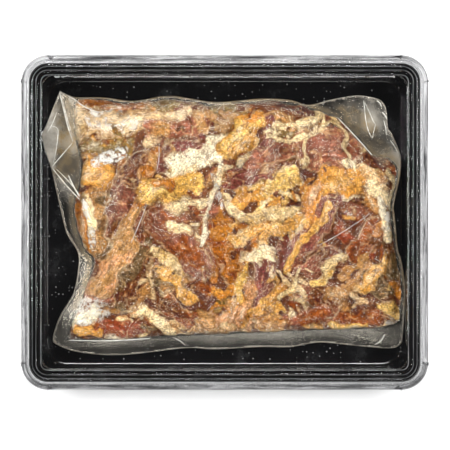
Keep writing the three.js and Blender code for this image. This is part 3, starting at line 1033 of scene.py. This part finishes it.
def formed_sheet(name, profile, settings, material, slot, node):
    """A sheet drawn to a stepped profile: a plane with round corners, extruded ring by ring."""
    bpy.ops.object.select_all(action="DESELECT")
    bpy.ops.mesh.primitive_plane_add(size=2)
    piece = bpy.context.object
    piece.name = name
    piece.data.name = name
    outward, height, radius = profile[0]
    bpy.ops.object.mode_set(mode="EDIT")
    bpy.ops.mesh.select_mode(type="VERT")
    bpy.ops.mesh.select_all(action="SELECT")
    half = ((RIM_LENGTH / 2 + outward) * MM, (RIM_WIDTH / 2 + outward) * MM, 1)
    bpy.ops.transform.resize(value=half, center_override=(0, 0, 0))
    bpy.ops.transform.translate(value=(0, 0, height * MM))
    bpy.ops.mesh.bevel(offset=radius * MM, segments=CORNER_STEPS, affect="VERTICES")
    cut_straights(piece)
    bpy.ops.mesh.select_all(action="SELECT")
    bpy.ops.mesh.select_mode(type="EDGE")
    bpy.ops.mesh.region_to_loop()
    for here, there in zip(profile, profile[1:]):
        next_ring(piece, here, there)
    bpy.ops.object.mode_set(mode="OBJECT")
    if piece.data.polygons[0].normal.z < 0:
        piece.data.flip_normals()
    finish_sheet(piece, settings)
    mark_drawn_sheet(piece)
    piece.data.materials.append(material)
    settle(piece, slot, node)


def cut_straights(piece):
    """Cuts the four straight edges, so that the sheet can be a little uneven along them."""
    shape = bmesh.from_edit_mesh(piece.data)
    lengths = sorted(edge.calc_length() for edge in shape.edges)
    for edge in shape.edges:
        edge.select = edge.calc_length() >= lengths[-4]
    bmesh.update_edit_mesh(piece.data)
    bpy.ops.mesh.subdivide(number_cuts=STRAIGHT_CUTS)


def finish_sheet(piece, settings):
    """Rounds the formed edges, makes them a little uneven and gives the sheet its thickness."""
    bpy.context.view_layer.objects.active = piece
    round_edges = piece.modifiers.new("Round Edges", "BEVEL")
    round_edges.width = settings.rounding
    round_edges.segments = 3
    round_edges.limit_method = "ANGLE"
    round_edges.angle_limit = math.radians(ROUNDED_ANGLE)
    uneven_texture = bpy.data.textures.new(piece.name + "_unevenness", "CLOUDS")
    uneven_texture.noise_scale = UNEVEN_SIZE * MM
    uneven = piece.modifiers.new("Unevenness", "DISPLACE")
    uneven.texture = uneven_texture
    uneven.strength = UNEVEN_DEPTH * MM
    thickness = piece.modifiers.new("Thickness", "SOLIDIFY")
    thickness.thickness = settings.sheet
    thickness.offset = -1
    for modifier in list(piece.modifiers):
        bpy.ops.object.modifier_apply(modifier=modifier.name)
    bpy.ops.object.shade_smooth_by_angle(angle=math.radians(SMOOTH_ANGLE))


def mark_drawn_sheet(piece):
    """Keeps, for each point, its place round the sheet and across it, and the masks that the looks use."""
    points = vectors_of(piece, "co") / MM
    normals = vectors_of(piece, "normal")
    past = abs(points[:, :2]) - (RIM_LENGTH / 2 - RIM_RADIUS, RIM_WIDTH / 2 - RIM_RADIUS)
    inset = RIM_RADIUS - np.linalg.norm(np.maximum(past, 0), axis=1) - np.minimum(past.max(1), 0)
    turn = np.arctan2(points[:, 1] / RIM_WIDTH, points[:, 0] / RIM_LENGTH)
    around = (RIM_LENGTH + RIM_WIDTH) / math.pi
    drawn = np.stack([around * np.cos(turn), around * np.sin(turn), inset + points[:, 2]], 1)
    store(piece.data, "drawn", "FLOAT_VECTOR", drawn)
    masks = {
        "steep": np.clip(1.1 - abs(normals[:, 2]), 0, 1) * smooth_step(-inset, -12, -9),
        "flange": smooth_step(-inset, -0.6, 1.2),
        "lip": smooth_step(-inset, 4.6, 5.6),
        "middle": smooth_step(inset, 10, 12),
        "across": inset,
        # The long sides, where the lid's flange is painted darker as shade
        "long_side": smooth_step(abs(points[:, 1]), 106, 112),
    }
    for name, values in masks.items():
        store(piece.data, name, "FLOAT", values)


# Meat

def tube_faces(rings, count, start):
    """Faces of a closed body through rings of points, counted on from start."""
    faces = []
    for ring in range(rings - 1):
        for i in range(count):
            j = (i + 1) % count
            a, b = start + ring * count + i, start + ring * count + j
            faces.append((a, b, b + count, a + count))
    faces.append(tuple(start + i for i in reversed(range(count))))
    last = start + (rings - 1) * count
    faces.append(tuple(last + i for i in range(count)))
    return faces


def filled_outline(outline, pitch, seed):
    """Points inside an outline about a pitch apart, after those of the outline, and the triangles."""
    rows = np.arange(outline[:, 1].min(), outline[:, 1].max(), pitch * 0.866)
    columns = np.arange(outline[:, 0].min(), outline[:, 0].max(), pitch)
    x, y = np.meshgrid(columns, rows)
    x[1::2] += pitch / 2
    grid = np.stack([x.ravel(), y.ravel()], 1)
    rng = np.random.default_rng(seed)
    grid += rng.uniform(-0.08, 0.08, grid.shape) * pitch
    grid = grid[inside(grid, outline)]
    grid = grid[distance_to(grid, outline)[0] > pitch * 0.55]
    places = np.vstack([outline[:, :2], grid])
    rim = len(outline)
    ring = [(i, (i + 1) % rim) for i in range(rim)]
    filled = geometry.delaunay_2d_cdt([Vector(p) for p in places.tolist()], ring, [], 1, 1e-6)
    found = np.array([tuple(v) for v in filled[0]])
    return found, [tuple(face) for face in filled[2]]


def closed_skin(outline, pitch, lower_pitch, upper, lower, seed):
    """A closed skin of two sheets that meet at the outline. Their heights are functions of the places."""
    top, top_faces = filled_outline(outline, pitch, seed)
    bottom, bottom_faces = filled_outline(outline, lower_pitch, seed + 1)
    rim = len(outline)
    upper_z = upper(top)
    lower_z = lower(bottom)
    upper_z[:rim] = outline[:, 2]
    points = np.vstack([
        np.column_stack([top, upper_z]),
        np.column_stack([bottom[rim:], lower_z[rim:]]),
    ])
    shift = len(top) - rim
    faces = [turned_up(face, top) for face in top_faces]
    for face in bottom_faces:
        face = turned_up(face, bottom)
        faces.append(tuple(i if i < rim else i + shift for i in reversed(face)))
    return points, faces, len(top)


def turned_up(face, places):
    """The face with its corners counter-clockwise, seen from above."""
    a, b, c = (places[i] for i in face)
    area = (b[0] - a[0]) * (c[1] - a[1]) - (b[1] - a[1]) * (c[0] - a[0])
    return face if area > 0 else tuple(reversed(face))


def named_pieces():
    """The lean strips and then the pieces of fat, each with its kind."""
    return [("lean", *row) for row in LEAN_STRIPS] + [("fat", *row) for row in FAT_PIECES]


def scraps(rng, count, reaches, layer):
    """Random scraps of the meat. Each takes the tones of a piece that lies near it, but none is crimson."""
    outline = curve_through(MEAT_EDGE, 4.0, closed=True)
    rows = named_pieces()
    middles = np.array([row[5][1] for row in rows])
    made = []
    while len(made) < count:
        spot = rng.uniform(*SCRAP_AREA)
        if not inside(spot[None], outline)[0]:
            continue
        nearby = np.argsort(np.hypot(*(middles - spot).T))[:5]
        kind, tone, other, *_ = rows[rng.choice(nearby)]
        tone = "brown" if tone == "crimson" else tone
        reach = rng.uniform(*reaches)
        turn = rng.uniform(0, math.pi)
        along = np.array([math.cos(turn), math.sin(turn)]) * reach
        bend = np.array([-along[1], along[0]]) * rng.uniform(-0.5, 0.5)
        spots = [spot - along, spot + bend, spot + along]
        made.append((kind, tone, other, reach * rng.uniform(0.3, 0.6), layer, spots))
    return made


def all_pieces(settings):
    """Every piece in the order that they lie, lowest first."""
    rng = np.random.default_rng(settings.seed)
    pieces = scraps(rng, *LOW_SCRAPS) + named_pieces() + scraps(rng, *HIGH_SCRAPS)
    return sorted(pieces, key=lambda piece: piece[4])


def ridged(places, size, seed):
    """Noise with fine crests, from 0 to 1."""
    return np.clip(1 - 2.0 * abs(noise(places, size, seed)), 0, 1)


def blend(first, second, share):
    """Colours between two colours."""
    return first + (np.asarray(second) - first) * share[:, None]


def hollowness(surface, places):
    """How far each place lies in a hollow between the bag's lumps: about 1 in a hollow, -1 on a lump."""
    wide = surface.z
    for _ in range(EVEN_ROUNDS):
        wide = sum(beside(wide), wide) / 5
    return np.clip(surface.at(places, wide - surface.z) / 2.0, -1, 1.5)


class MeatTop:
    """Heights under the bag's surface and colours of the meat at many places."""

    def __init__(self, places, surface, settings):
        self.places = places
        self.hollow = hollowness(surface, places)
        self.seed = settings.seed
        warp = [
            WIDE_BEND[0] * noise(places, WIDE_BEND[1], self.seed + axis)
            + FINE_BEND[0] * noise(places, FINE_BEND[1], self.seed + 2 + axis)
            for axis in (0, 1)
        ]
        self.moved = places + np.stack(warp, 1)
        self.level = np.full(len(places), JUICE_LEVEL)
        self.colour = np.tile(linear("brown"), (len(places), 1))
        self.grain = np.column_stack([places, np.zeros(len(places))])
        self.lean = np.zeros(len(places))
        self.strands = np.zeros(len(places))
        self.curdle = (
            0.6 * ridged(places, 7.0, self.seed + 11) + 0.25 * ridged(places, 3.2, self.seed + 12)
            + 0.2 * noise(places, 1.3, self.seed + 13))
        vein_places = smooth_step(noise(places, 9.0, self.seed + 19), -0.1, 0.4)
        self.veins = ridged(self.moved, 7.0, self.seed + 18) * vein_places
        self.fray = sum(share * noise(places, size, self.seed + 30 + size) for share, size in FRAY)
        self.drift = noise(places, 8.0, self.seed + 40) + 0.5 * noise(places, 3.5, self.seed + 41)
        pits = noise(places, 3.8, self.seed + 14) + 0.6 * noise(places, 1.3, self.seed + 15)
        self.pits = smooth_step(pits, 0.3, 0.75)

    def add(self, number, piece):
        """Lays one more piece on top."""
        kind, tone, other, half_width, layer, spots = piece
        line = curve_through(spots, 1.0)
        reach = half_width * 1.4 + 6
        low, high = line.min(0) - reach, line.max(0) + reach
        near = np.flatnonzero(np.all((self.places > low) & (self.places < high), 1))
        if not len(near):
            return
        gap, nearest = distance_to(self.moved[near], line)
        from_line = self.moved[near] - line[nearest]
        ahead = directions(line)[nearest]
        across = from_line[:, 1] * ahead[:, 0] - from_line[:, 0] * ahead[:, 1]
        along = nearest * 1.0 + (from_line * ahead).sum(1)
        fray = min(1.0, half_width * 0.12) if kind == "lean" else min(2.0, half_width * 0.3)
        share = (gap + self.fray[near] * fray) / half_width
        near, share, along, across = (v[share < 1.6] for v in (near, share, along, across))
        cover = 1 - smooth_step(share, 0.82, 1.03)
        groove = np.exp(-((share - 1.03) / (0.5 / half_width + 0.03)) ** 2)

        dome = np.sqrt(np.clip(1 - (share * 0.9) ** 2, 0, 1))
        rise = min(half_width * 0.35, 2.2)
        level = -LAYER_DROP[max(layer, 0)] - rise * (1 - dome)
        self.level[near] += (level - self.level[near]) * cover - 0.25 * groove
        key = np.column_stack([along, across, np.full(len(along), number * 7.3)])
        if kind == "lean":
            colour = self.lean_colour(near, share, half_width, key, tone, other, number)
        else:
            colour = self.fat_colour(near, share, key, cover, tone, other)
        mixed_colour = blend(self.colour[near], colour, cover)
        # Painted shade in the creases between pieces: a dark brown along the groove at each piece's edge
        crease_shade = groove * smooth_step(self.drift[near], -0.5, 0.2)
        self.colour[near] = blend(mixed_colour, linear("crease_shade"), 0.38 * crease_shade)
        inner = cover > 0.5
        self.grain[near[inner]] = key[inner]
        self.lean[near] += ((kind == "lean") - self.lean[near]) * cover

    def lean_colour(self, near, share, half_width, key, tone, other, number):
        """Muscle: patches of two tones, fibres and pale flecks along it."""
        seed = self.seed + number
        tone, other = linear(tone), linear(other)
        patches = smooth_step(noise(key[:, :2], 8.0, seed), -0.2, 0.3)
        colour = tone + (other - tone) * patches[:, None]
        stretched = key[:, :2] * (0.22, 1.0)
        fibres = noise(stretched, 1.2, seed + 1) + 0.5 * noise(stretched, 2.6, seed + 2)
        colour = colour * (1 + 0.34 * fibres[:, None])
        flecks = noise(key[:, :2] * (0.5, 1.0), 1.3, seed + 3) + 0.5 * noise(key[:, :2], 5.0, seed + 4)
        colour = blend(colour, linear("fleck"), 0.42 * smooth_step(flecks, 0.5, 0.85))
        colour = blend(colour, linear("vein"), 0.45 * smooth_step(self.veins[near], 0.8, 1.0))
        fascia = np.exp(-((share - 0.9) / 0.07) ** 2) * smooth_step(self.fray[near], -0.9, 0.2)
        return blend(colour, linear("fascia"), 0.55 * fascia * (half_width > 6.5))

    def fat_colour(self, near, share, key, cover, tone, other):
        """Fat and skin: paler on the crown and deeper in tone lower down, partly as painted light and shade,
        near white where it is palest as a painted highlight, and the colour of the marinade in the pits.
        """
        tone, other = linear(tone), linear(other)
        strands = ridged(key[:, :2] * (0.22, 1.0), 2.3, self.seed + 26)
        strands = 0.7 * strands + 0.5 * ridged(key[:, :2] * (0.3, 1.0), 1.4, self.seed + 27)
        self.strands[near] += (strands - self.strands[near]) * cover
        # The crown of each piece is painted lighter and its edges deeper: painted light and shade
        crown = 1 - smooth_step(share + 0.45 * self.drift[near], 0.2, 1.1)
        pale = 0.4 * crown + 0.2 + 0.35 * self.drift[near] + 0.3 * self.curdle[near] + 0.12 * strands
        colour = other + (tone - other) * smooth_step(pale, 0.1, 0.7)[:, None]
        # A painted highlight: the palest places are blended towards near white
        painted_highlight = 0.65 * smooth_step(pale, 0.66, 1.1)
        colour = blend(colour, tone * 0.3 + 0.7 * linear("fat highlight"), painted_highlight)
        return blend(colour, linear("pit"), 0.5 * self.pits[near])

    def finish(self):
        """Fine relief: curds on the fat, fibres on the lean. Also grit and marinade pools in the colours,
        with painted shade in the hollows and painted light on the lumps.
        """
        stretched = self.grain[:, :2] * (0.22, 1.0)
        fibres = noise(stretched, 1.5, self.seed + 21)
        curds = 0.6 * (self.curdle - 0.45) + 0.4 * (self.strands - 0.4) - 0.4 * self.pits
        grit = 0.6 * noise(self.places, 5.0, self.seed + 24) + 0.9 * noise(self.places, 1.0, self.seed + 25)
        self.colour *= 0.93 * np.clip(1 + 0.3 * grit, 0.5, 1.4)[:, None]
        pools = noise(self.places, 11.0, self.seed + 22) + 0.5 * noise(self.places, 3.3, self.seed + 23)
        pools = np.clip(smooth_step(pools, -0.1, 0.6) * 0.8 + self.hollow * 0.5, 0, 1.4)
        self.colour *= 1 - pools[:, None] * (0.1, 0.2, 0.36)
        # Painted shade in the hollows between the bag's lumps, and painted light on the lumps
        self.colour *= np.clip(1 - 0.22 * self.hollow, 0.6, 1.15)[:, None]
        # The film over the meat adds a little light, which is taken off here.
        self.colour = np.clip(1.03 * self.colour - 0.018, 0.004, 1)
        self.level += curds * (1 - self.lean) + (0.22 * fibres + 0.3 * curds) * self.lean


def make_meat(surface, settings):
    """The pressed strips, their fat and the juice between them: one closed skin."""
    outline = curve_through(MEAT_EDGE, 1.5, closed=True)
    middle = outline.mean(0)
    outline = middle + (outline - middle) * 0.993
    outline += np.stack([noise(outline, 6.0, 31 + axis) for axis in (0, 1)], 1)
    outline = np.column_stack([outline, np.full(len(outline), STRIP_FLOOR + EDGE_LIFT)])
    pieces = all_pieces(settings)
    tops = []

    def upper(places):
        meat_top = MeatTop(places, surface, settings)
        for number, piece in enumerate(pieces):
            meat_top.add(number, piece)
        meat_top.finish()
        tops.append(meat_top)
        edge = distance_to(places, outline)[0]
        side = STRIP_FLOOR + EDGE_LIFT + 6.0 * np.sqrt(edge)
        top = np.minimum(surface.at(places) + meat_top.level, side)
        return np.maximum(top, STRIP_FLOOR + LEAST_LIFT)

    def lower(places):
        return np.full(len(places), STRIP_FLOOR)

    pitch = settings.pitch / MM
    points, faces, top_count = closed_skin(outline, pitch, 4.0, upper, lower, settings.seed)
    piece = new_piece("marinated_skirt", points, faces, meat_material(), "bagged_meat", "bag")
    below = len(points) - top_count
    top = tops[0]
    colour = np.column_stack([top.colour, np.ones(top_count)])
    under = np.tile(rgba("brown"), (below, 1))
    store(piece.data, "tone", "FLOAT_COLOR", np.vstack([colour, under]))
    store(piece.data, "grain", "FLOAT_VECTOR", np.vstack([top.grain, points[top_count:]]))
    store(piece.data, "lean", "FLOAT", np.concatenate([top.lean, np.zeros(below)]))


# Film

def relaxed(heights, held, floor, pull, rounds):
    """Heights of a stretched film: held where it is held, resting on the floor, pulled down elsewhere."""
    for _ in range(rounds):
        heights = np.where(held, heights, np.maximum(sum(beside(heights)) / 4 - pull, floor))
    return heights


def film_heights(surface, meat, edge_line):
    """Heights of the film over the meat, with its folds held up."""
    film = HeightMap(FILM_MAP_PITCH)
    places = film.places()
    shape = film.z.shape
    within = inside(places, edge_line).reshape(shape)
    gap, nearest = distance_to(places, edge_line)
    gap = gap.reshape(shape)
    edge_height = edge_line[nearest, 2].reshape(shape)
    loads = HeightMap(FILM_MAP_PITCH)
    loads.raise_to(vectors_of(meat, "co") / MM)
    floor = np.maximum(FILM_FLOOR, loads.z + FILM_GAP)
    meat_line = curve_through(MEAT_EDGE, 2.0, closed=True)
    over_meat = inside(places, meat_line).reshape(shape)
    meat_gap = distance_to(places, meat_line)[0].reshape(shape)
    pull = bpy.context.scene.film_settings.cling * smooth_step(np.where(over_meat, meat_gap, 0), 2, 8)
    start = np.where(over_meat, surface.at(places).reshape(shape), edge_height)
    heights = np.where(within, np.maximum(start, floor), edge_height)
    held = ~within | (gap < 0.5)
    floor = np.where(within, floor, 0)
    heights = relaxed(heights, held, floor, pull, SETTLE_ROUNDS)
    film.z = heights.copy()
    for lift, _, spots in FOLDS:
        fold = curve_through(spots, 0.6)
        raised = film.at(fold) + lift * np.sin(np.linspace(0.15, math.pi - 0.15, len(fold)))
        cells = film.cells(fold)
        heights[cells] = raised
        held[cells] = True
    film.z = relaxed(heights, held, floor, pull, FOLD_ROUNDS)
    return film, over_meat, meat_gap


def patch_mask(places, row):
    """How much of a patch lies over each place."""
    _, strength, x, y, half_length, half_width, turn = row
    angle = math.radians(turn)
    along = (places[:, 0] - x) * math.cos(angle) + (places[:, 1] - y) * math.sin(angle)
    across = (places[:, 1] - y) * math.cos(angle) - (places[:, 0] - x) * math.sin(angle)
    reach = np.hypot(along / half_length, across / half_width)
    reach = reach + 0.25 * noise(places, 5.0, 40) + 0.12 * noise(places, 2.0, 41)
    return strength * (1 - smooth_step(reach, 0.6, 1.25))


def make_film(surface, meat, settings):
    """The bag: two sheets of film that meet at the edge. Returns the heights of the upper one."""
    rows = np.array(FILM_EDGE, float)
    edge_line = curve_through(rows[:, :3], 1.4, closed=True, corners=rows[:, 3])
    film, over_meat, meat_gap = film_heights(surface, meat, edge_line)
    in_bag = np.where(over_meat, meat_gap, 0)

    def upper(places):
        return film.at(places)

    def lower(places):
        over = film.at(places)
        rise = smooth_step(film.at(places, in_bag), 0, 9)
        near = over - SHEET_GAP
        return np.minimum(near, near * (1 - rise) + LOWER_SHEET * rise)

    pitch = settings.pitch / MM
    points, faces, top_count = closed_skin(edge_line, pitch, pitch * 1.7, upper, lower, 90)
    piece = new_piece("bag_film", points, faces, film_material(), "clear_plastic", "bag")
    places = points[:, :2]
    is_top = np.arange(len(points)) < top_count
    masks = {name: np.zeros(len(points)) for name in ("foam", "white", "haze", "residue")}
    for row in FILM_PATCHES:
        masks[row[0]] = np.maximum(masks[row[0]], patch_mask(places, row))
    from_edge = distance_to(places, edge_line)[0]
    from_meat = film.at(places, np.where(over_meat, -meat_gap, meat_gap))
    outside_meat = smooth_step(from_meat, -1.5, 0.5)
    seal = outside_meat * smooth_step(-places[:, 1], 66, 74) * (0.8 + 0.2 * noise(places, 9.0, 50))
    masks["seal"] = 0.36 * seal
    ears = outside_meat * smooth_step(abs(places[:, 0]), 84, 100) * smooth_step(places[:, 1], 8, 40)
    # The haze is painted lighter and darker in broad patches, most of all on the ears: a painted sheen
    sheen = 0.5 + 0.6 * noise(places, 14.0, 61) + 0.15 * noise(places, 6.0, 62)
    masks["haze"] = np.maximum(masks["haze"], 0.8 * ears) * np.clip(0.5 + 0.9 * sheen, 0.3, 1.3)
    # A painted highlight along the film's cut edge, where the film is made whiter
    masks["edge"] = 1 - smooth_step(from_edge, 0.1, 0.9)
    near_meat = outside_meat * (1 - smooth_step(from_meat, 0, 7)) * (places[:, 1] > -60)
    masks["residue"] = np.maximum(masks["residue"], 0.85 * near_meat)
    for name, values in masks.items():
        store(piece.data, name, "FLOAT", np.clip(values, 0, 1) * is_top)
    return film


def make_folds(film):
    """Pinched folds that stand on the film, each a fine tapered ridge."""
    points, faces = [], []
    start = 0
    count = 8
    angle = np.arange(count) * 2 * math.pi / count
    for _, radius, spots in FOLDS:
        line = curve_through(spots, 0.8)
        ahead = directions(line)
        side = np.stack([-ahead[:, 1], ahead[:, 0]], 1)
        share = np.linspace(0, 1, len(line))
        size = 1.25 * radius * (0.25 + 0.75 * np.sin(math.pi * share) ** 0.5)
        places = line[:, None, :] + side[:, None, :] * (np.cos(angle) * size[:, None])[:, :, None]
        height = film.at(line)[:, None] + 0.1 + np.sin(angle) * size[:, None]
        points.append(np.concatenate([places, height[:, :, None]], 2).reshape(-1, 3))
        faces += tube_faces(len(line), count, start)
        start += len(line) * count
    new_piece("film_folds", np.vstack(points), faces, fold_material(), "clear_plastic")


# Operators

class PACK_OT_stage(bpy.types.Operator):
    """Make the floor, the lights and the camera"""

    bl_idname = "pack.stage"
    bl_label = "Stage"

    def execute(self, context):
        settings = context.scene.stage_settings
        self.floor(settings)
        self.lights(context, settings)
        self.camera(context, settings)
        return {"FINISHED"}

    def floor(self, settings):
        """The floor that the pack stands on."""
        bpy.ops.object.select_all(action="DESELECT")
        bpy.ops.mesh.primitive_plane_add(size=6)
        floor = bpy.context.object
        floor.name = "floor"
        material, tree, shader = new_material("pale_floor", 0.9, Specular_IOR_Level=0.1)
        fill(tree, shader, {
            "Base Color": (*settings.floor_colour, 1),
            "Emission Color": (1, 1, 1, 1),
            "Emission Strength": FLOOR_GLOW,
        })
        floor.data.materials.append(material)

    def lights(self, context, settings):
        """A dim room with four lights."""
        world = bpy.data.worlds.new("dim_room")
        world.use_nodes = True
        background = world.node_tree.nodes["Background"]
        background.inputs["Color"].default_value = (ROOM_LIGHT, ROOM_LIGHT, ROOM_LIGHT, 1)
        context.scene.world = world
        around = [
            ("key", 0.0, 1.0, 0.95, 0.6, 0.35, settings.key_power),
            ("left", -1.05, 0.15, 0.75, 0.5, 0.35, settings.fill_power),
            ("right", 1.05, 0.15, 0.75, 0.6, 0.4, settings.fill_power),
            ("front", 0.0, -1.1, 0.75, 1.2, 0.6, settings.fill_power),
        ]
        for name, x, y, z, length, width, power in around:
            light = bpy.data.lights.new(name, "AREA")
            light.shape = "RECTANGLE"
            light.size, light.size_y = length, width
            light.energy = power
            holder = bpy.data.objects.new(name, light)
            holder.location = (x, y, z)
            holder.rotation_euler = Vector((x, y, z)).to_track_quat("Z", "Y").to_euler()
            context.scene.collection.objects.link(holder)

    def camera(self, context, settings):
        """The camera, straight above the pack."""
        lens = bpy.data.cameras.new("camera")
        lens.lens = settings.lens
        lens.sensor_width = 36
        lens.clip_start, lens.clip_end = 0.01, 10
        camera = bpy.data.objects.new("camera", lens)
        camera.location = (CAMERA_SPOT[0] * MM, CAMERA_SPOT[1] * MM, settings.camera_height)
        context.scene.collection.objects.link(camera)
        context.scene.camera = camera
        context.scene.view_settings.view_transform = "Standard"


class PACK_OT_tray(bpy.types.Operator):
    """Make the black tray"""

    bl_idname = "pack.tray"
    bl_label = "Tray"

    def execute(self, context):
        settings = context.scene.tray_settings
        formed_sheet("tray_shell", TRAY_PROFILE, settings, tray_material(settings), "black_plastic", "tray")
        return {"FINISHED"}


class PACK_OT_lid(bpy.types.Operator):
    """Make the clear lid"""

    bl_idname = "pack.lid"
    bl_label = "Lid"

    def execute(self, context):
        settings = context.scene.lid_settings
        formed_sheet("lid_shell", LID_PROFILE, settings, lid_material(), "clear_plastic", "lid")
        return {"FINISHED"}


class PACK_OT_meat(bpy.types.Operator):
    """Make the meat: the lean strips, the fat and the scraps between them"""

    bl_idname = "pack.meat"
    bl_label = "Meat"

    def execute(self, context):
        settings = context.scene.meat_settings
        make_meat(surface_of_bag(), settings)
        return {"FINISHED"}


class PACK_OT_film(bpy.types.Operator):
    """Make the sealed bag's film round the meat, with its folds"""

    bl_idname = "pack.film"
    bl_label = "Film"

    def execute(self, context):
        settings = context.scene.film_settings
        make_folds(make_film(surface_of_bag(), bpy.data.objects["marinated_skirt"], settings))
        return {"FINISHED"}


class PACK_PT_panel(bpy.types.Panel):
    bl_label = "Meat Pack"
    bl_idname = "PACK_PT_panel"
    bl_space_type = "VIEW_3D"
    bl_region_type = "UI"
    bl_category = "Meat Pack"

    def draw(self, context):
        for operator in OPERATORS:
            self.layout.operator(operator.bl_idname)
        for name, kind in SETTINGS.items():
            box = self.layout.box()
            for field in kind.__annotations__:
                box.prop(getattr(context.scene, name), field)


OPERATORS = [PACK_OT_stage, PACK_OT_tray, PACK_OT_lid, PACK_OT_meat, PACK_OT_film]
SETTINGS = {
    "stage_settings": StageSettings,
    "tray_settings": TraySettings,
    "lid_settings": LidSettings,
    "meat_settings": MeatSettings,
    "film_settings": FilmSettings,
}


def register():
    for kind in [*SETTINGS.values(), *OPERATORS, PACK_PT_panel]:
        bpy.utils.register_class(kind)
    for name, kind in SETTINGS.items():
        setattr(bpy.types.Scene, name, PointerProperty(type=kind))


def unregister():
    for name in SETTINGS:
        delattr(bpy.types.Scene, name)
    for kind in reversed([*SETTINGS.values(), *OPERATORS, PACK_PT_panel]):
        bpy.utils.unregister_class(kind)


def main():
    """Builds the whole pack."""
    register()
    bpy.ops.pack.stage()
    bpy.ops.pack.tray()
    bpy.ops.pack.lid()
    bpy.ops.pack.meat()
    bpy.ops.pack.film()
    bpy.context.view_layer.update()


if __name__ == "__main__":
    main()
